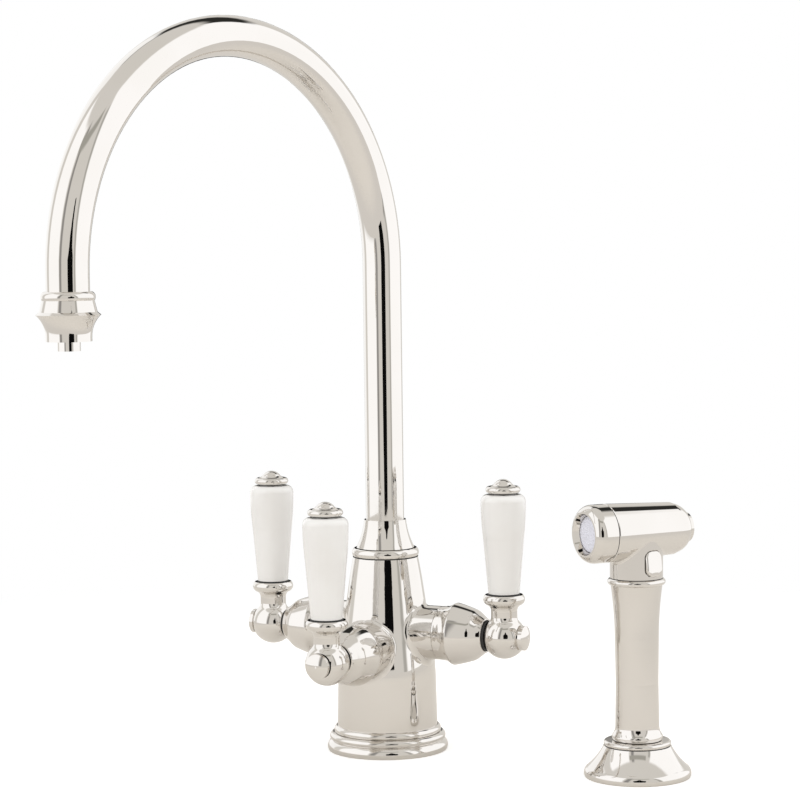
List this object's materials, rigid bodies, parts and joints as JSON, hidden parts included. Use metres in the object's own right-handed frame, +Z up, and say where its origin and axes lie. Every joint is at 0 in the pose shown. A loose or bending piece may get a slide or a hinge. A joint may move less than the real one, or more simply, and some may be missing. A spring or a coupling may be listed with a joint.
{
  "type": "side spray kitchen faucet",
  "caption": "Deck mixer with a high arch swivel spout, porcelain lever handles on three arms, and a separate hand spray standing in its own round holder.",
  "frame": {"origin": "middle of the mixer's base on the deck, which is also the mouth of the fixing stud's hole", "axes": "+Z up from the deck, -Y along the filtered water arm towards the user, +X along the cold arm towards the hand spray"},
  "size_m": [0.2788, 0.293, 0.417],
  "materials": {
    "polished_nickel": "polished nickel, warm mirror finish",
    "brass": "turned brass",
    "porcelain": "white glaze",
    "ceramic_disc": "lapped",
    "rubber": "matt black",
    "steel": "stainless",
    "spray_face_white": "white, slightly blue",
    "nylon": "natural"
  },
  "bodies": {
    "root": {"body_casting": "polished_nickel", "base_ring": "polished_nickel", "base_seal": "rubber", "seat_ring": "polished_nickel", "grub_screw": "steel", "hot_shroud": "polished_nickel", "cold_shroud": "polished_nickel", "filter_shroud": "polished_nickel", "hot_cartridge": "brass", "cold_cartridge": "brass", "filter_cartridge": "brass", "fixed_discs": "ceramic_disc", "seat_seals": "rubber", "diverter_sleeve": "brass", "diverter_spring": "steel", "spray_holder": "polished_nickel", "holder_seal": "rubber", "holder_bush": "nylon"},
    "spout": {"spout_tube": "polished_nickel", "spout_collar": "polished_nickel", "spout_spigot": "brass", "spout_seals": "rubber", "filter_tube": "steel", "outlet_ferrule": "polished_nickel", "outlet_body": "polished_nickel", "flow_straightener": "nylon", "filter_nozzle": "polished_nickel"},
    "hot_lever": {"hot_hub": "polished_nickel", "hot_handle": "porcelain", "hot_rod": "steel", "hot_finial": "polished_nickel", "hot_cap": "polished_nickel", "hot_screw": "steel", "hot_spindle": "brass", "hot_moving_disc": "ceramic_disc"},
    "cold_lever": {"cold_hub": "polished_nickel", "cold_handle": "porcelain", "cold_rod": "steel", "cold_finial": "polished_nickel", "cold_cap": "polished_nickel", "cold_screw": "steel", "cold_spindle": "brass", "cold_moving_disc": "ceramic_disc"},
    "filter_lever": {"filter_hub": "polished_nickel", "filter_handle": "porcelain", "filter_rod": "steel", "filter_finial": "polished_nickel", "filter_cap": "polished_nickel", "filter_screw": "steel", "filter_spindle": "brass", "filter_moving_disc": "ceramic_disc"},
    "hose_end": {"hose_connector": "brass"},
    "hand_spray": {"spray_column": "polished_nickel", "spray_head": "polished_nickel", "nozzle_ring": "polished_nickel", "spray_face": "spray_face_white", "end_cap": "polished_nickel", "button_spring": "steel"},
    "button": {"spray_button": "polished_nickel"},
    "diverter": {"diverter_piston": "brass"}
  },
  "joints": [
    {"name": "spout_swivel", "type": "hinge", "parent": "root", "child": "spout", "pos_m": [0, 0, 0.1], "axis": [0, 0, 1], "continuous": true},
    {"name": "hot_lever_turn", "type": "hinge", "parent": "root", "child": "hot_lever", "pos_m": [-0.07475, 0, 0.0698], "axis": [-1, 0, 0], "range_deg": [0, 90]},
    {"name": "cold_lever_turn", "type": "hinge", "parent": "root", "child": "cold_lever", "pos_m": [0.07475, 0, 0.0698], "axis": [1, 0, 0], "range_deg": [0, 90]},
    {"name": "filter_lever_turn", "type": "hinge", "parent": "root", "child": "filter_lever", "pos_m": [0, -0.07475, 0.0619], "axis": [0, -1, 0], "range_deg": [0, 90]},
    {"name": "spray_lift", "type": "slide", "parent": "root", "child": "hose_end", "axis": [0, 0, 1], "range_m": [0, 0.2]},
    {"name": "spray_turn", "type": "hinge", "parent": "hose_end", "child": "hand_spray", "pos_m": [0.1598, -0.0134, 0.03], "axis": [0, 0, 1], "continuous": true},
    {"name": "button_press", "type": "slide", "parent": "hand_spray", "child": "button", "axis": [-0.8738, 0.4863, 0], "range_m": [0, 0.0025], "stiffness_N_per_m": 1200, "springref_m": -0.003, "deforming": ["button_spring"]},
    {"name": "diverter_slide", "type": "slide", "parent": "root", "child": "diverter", "axis": [0, 0, -1], "range_m": [0, 0.004], "deforming": ["diverter_spring"]}
  ],
  "couplings": [
    {"joint": "diverter_slide", "follows": "button_press", "ratio": 1.6}
  ]
}
